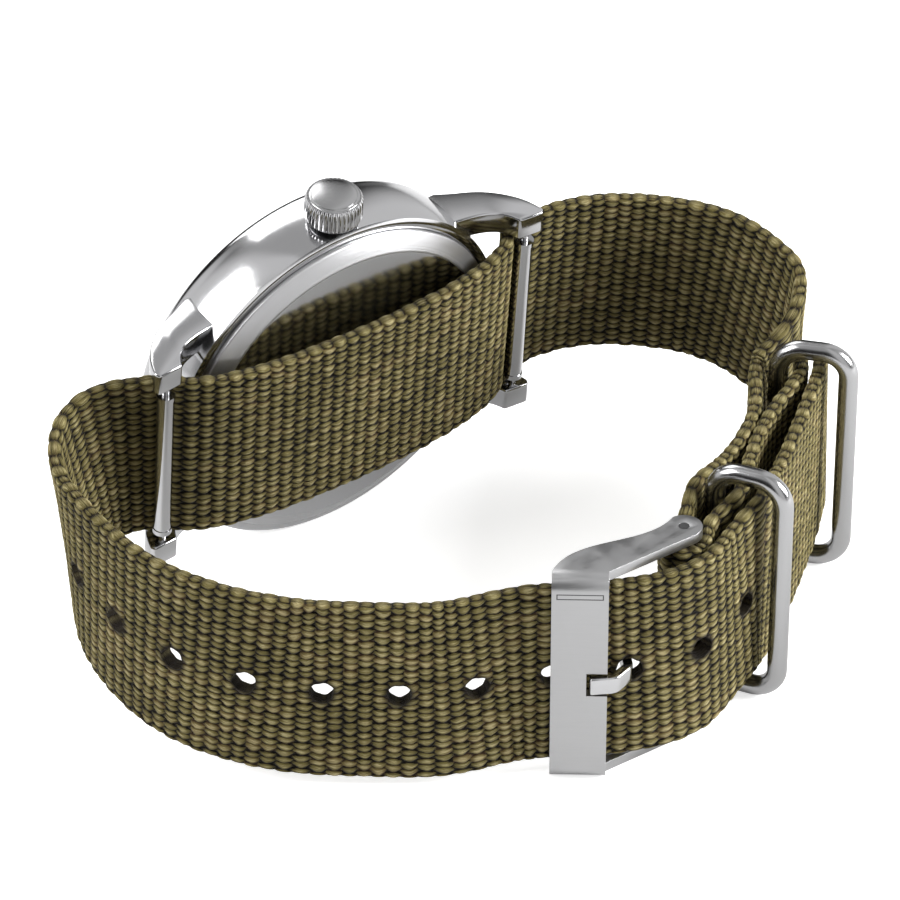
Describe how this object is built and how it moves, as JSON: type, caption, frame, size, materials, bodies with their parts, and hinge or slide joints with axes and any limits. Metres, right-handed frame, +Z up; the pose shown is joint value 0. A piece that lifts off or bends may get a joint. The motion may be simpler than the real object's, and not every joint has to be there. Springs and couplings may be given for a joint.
{
  "type": "field watch",
  "caption": "Round steel field watch with a fluted crown on a pull-through woven strap, buckled into a wrist loop and lying on its side.",
  "frame": {"origin": "on the table under the centre of the whole watch as it lies with its strap buckled", "axes": "+Z is up from the table. +X runs from the six o'clock side to the twelve o'clock side of the case. +Y is the way the dial faces, so the buckle and the wrist side are at -Y."},
  "size_m": [0.0768, 0.0572, 0.0403],
  "materials": {
    "case_steel": "brushed and polished",
    "crystal": "clear, polished",
    "gasket": "matt",
    "dial_paint": "matt black with pale numerals",
    "hand_paint": "pale, matt",
    "movement_brass": "satin",
    "movement_plastic": "moulded",
    "copper_winding": "enamelled winding",
    "cell": "satin",
    "webbing": "woven, khaki olive",
    "polished_wire": "polished"
  },
  "bodies": {
    "head_and_strap": {"case_body": "case_steel", "crystal": "crystal", "crystal_gasket": "gasket", "case_back": "case_steel", "case_back_gasket": "gasket", "dial": "dial_paint", "chapter_ring": "dial_paint", "main_plate": "movement_brass", "movement_holder": "movement_plastic", "bridge": "cell", "bridge_screws": "cell", "battery": "cell", "battery_clamp": "cell", "coil": "copper_winding", "coil_core": "cell", "crown_tube": "case_steel", "bar_tube_six": "case_steel", "bar_tube_twelve": "case_steel", "strap": "webbing"},
    "lever": {"setting_lever": "cell"},
    "crown": {"crown": "case_steel", "stem": "cell", "crown_gasket": "gasket"},
    "minute_hand": {"minute_hand": "hand_paint"},
    "hour_hand": {"hour_hand": "hand_paint"},
    "second_hand": {"second_hand": "hand_paint"},
    "tip_six_upper": {"bar_tip_six_upper": "case_steel"},
    "tip_six_lower": {"bar_tip_six_lower": "case_steel"},
    "tip_twelve_upper": {"bar_tip_twelve_upper": "case_steel"},
    "tip_twelve_lower": {"bar_tip_twelve_lower": "case_steel"},
    "buckle": {"buckle_frame": "case_steel", "buckle_pin": "case_steel"},
    "tongue": {"buckle_tongue": "polished_wire"},
    "keeper_front": {"keeper_front": "polished_wire"},
    "keeper_rear": {"keeper_rear": "polished_wire"}
  },
  "joints": [
    {"name": "crown_pull", "type": "slide", "parent": "head_and_strap", "child": "lever", "axis": [-0.0471, -0.1606, 0.9859], "range_m": [0, 0.0009]},
    {"name": "crown_turn", "type": "hinge", "parent": "lever", "child": "crown", "pos_m": [-0.0035, 0.02076, 0.01854], "axis": [-0.0471, -0.1606, 0.9859], "continuous": true},
    {"name": "minute_turn", "type": "hinge", "parent": "head_and_strap", "child": "minute_hand", "pos_m": [-0.0035, 0.02159, 0.01868], "axis": [0, -0.987, -0.1607], "continuous": true},
    {"name": "hour_turn", "type": "hinge", "parent": "head_and_strap", "child": "hour_hand", "pos_m": [-0.0035, 0.02159, 0.01868], "axis": [0, -0.987, -0.1607], "continuous": true},
    {"name": "second_turn", "type": "hinge", "parent": "head_and_strap", "child": "second_hand", "pos_m": [-0.0035, 0.02159, 0.01868], "axis": [0, -0.987, -0.1607], "continuous": true},
    {"name": "bar_six_upper", "type": "slide", "parent": "head_and_strap", "child": "tip_six_upper", "axis": [0.0471, 0.1606, -0.9859], "range_m": [0, 0.0012], "stiffness_N_per_m": 1500},
    {"name": "bar_six_lower", "type": "slide", "parent": "head_and_strap", "child": "tip_six_lower", "axis": [-0.0471, -0.1606, 0.9859], "range_m": [0, 0.0012], "stiffness_N_per_m": 1500},
    {"name": "bar_twelve_upper", "type": "slide", "parent": "head_and_strap", "child": "tip_twelve_upper", "axis": [0.0471, 0.1606, -0.9859], "range_m": [0, 0.0012], "stiffness_N_per_m": 1500},
    {"name": "bar_twelve_lower", "type": "slide", "parent": "head_and_strap", "child": "tip_twelve_lower", "axis": [-0.0471, -0.1606, 0.9859], "range_m": [0, 0.0012], "stiffness_N_per_m": 1500},
    {"name": "buckle_swing", "type": "hinge", "parent": "head_and_strap", "child": "buckle", "pos_m": [0.00481, -0.02465, 0], "axis": [0, 0, 1], "range_deg": [0, 4]},
    {"name": "tongue_lift", "type": "hinge", "parent": "buckle", "child": "tongue", "pos_m": [0.00481, -0.02465, 0], "axis": [0, 0, 1], "range_deg": [0, 1.5]},
    {"name": "front_keeper_swing", "type": "hinge", "parent": "head_and_strap", "child": "keeper_front", "pos_m": [0.01121, -0.021, 0], "axis": [0, 0, 1], "range_deg": [-10, 10]},
    {"name": "rear_keeper_swing", "type": "hinge", "parent": "head_and_strap", "child": "keeper_rear", "pos_m": [0.0282, -0.0087, 0], "axis": [0, 0, 1], "range_deg": [-10, 10]}
  ],
  "couplings": [
    {"joint": "hour_turn", "follows": "minute_turn", "ratio": 0.083333}
  ]
}
